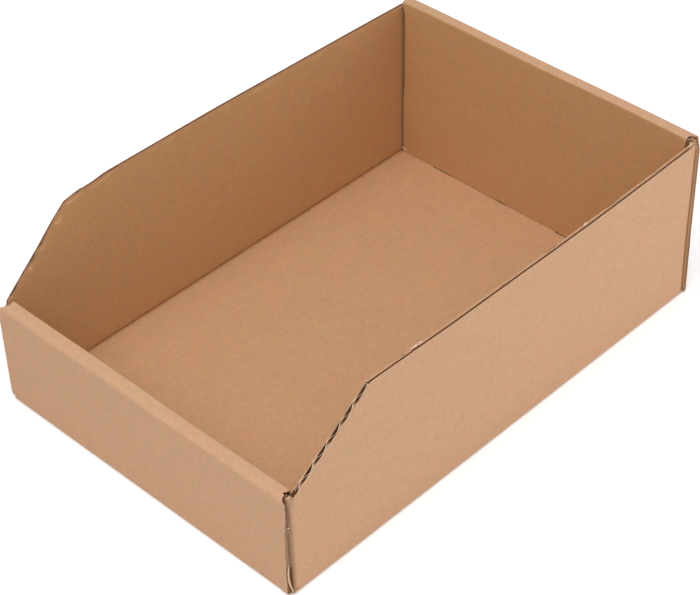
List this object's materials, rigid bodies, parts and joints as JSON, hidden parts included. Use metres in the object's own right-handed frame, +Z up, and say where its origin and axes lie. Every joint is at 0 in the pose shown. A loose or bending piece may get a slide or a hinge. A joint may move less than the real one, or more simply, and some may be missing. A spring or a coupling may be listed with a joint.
{
  "type": "cardboard tray box",
  "caption": "Open-fronted corrugated cardboard parts tray, folded from one blank, with slanted side walls and double front and rear walls locked by tabs.",
  "frame": {"origin": "centre of the underside of the base", "axes": "+Y runs from the low open front to the high rear wall, +X to the right seen from the front, +Z up"},
  "size_m": [0.2063, 0.296, 0.102],
  "materials": {
    "kraft_board": "matte brown kraft liner"
  },
  "bodies": {
    "root": {"tray_body": "kraft_board"}
  },
  "joints": []
}
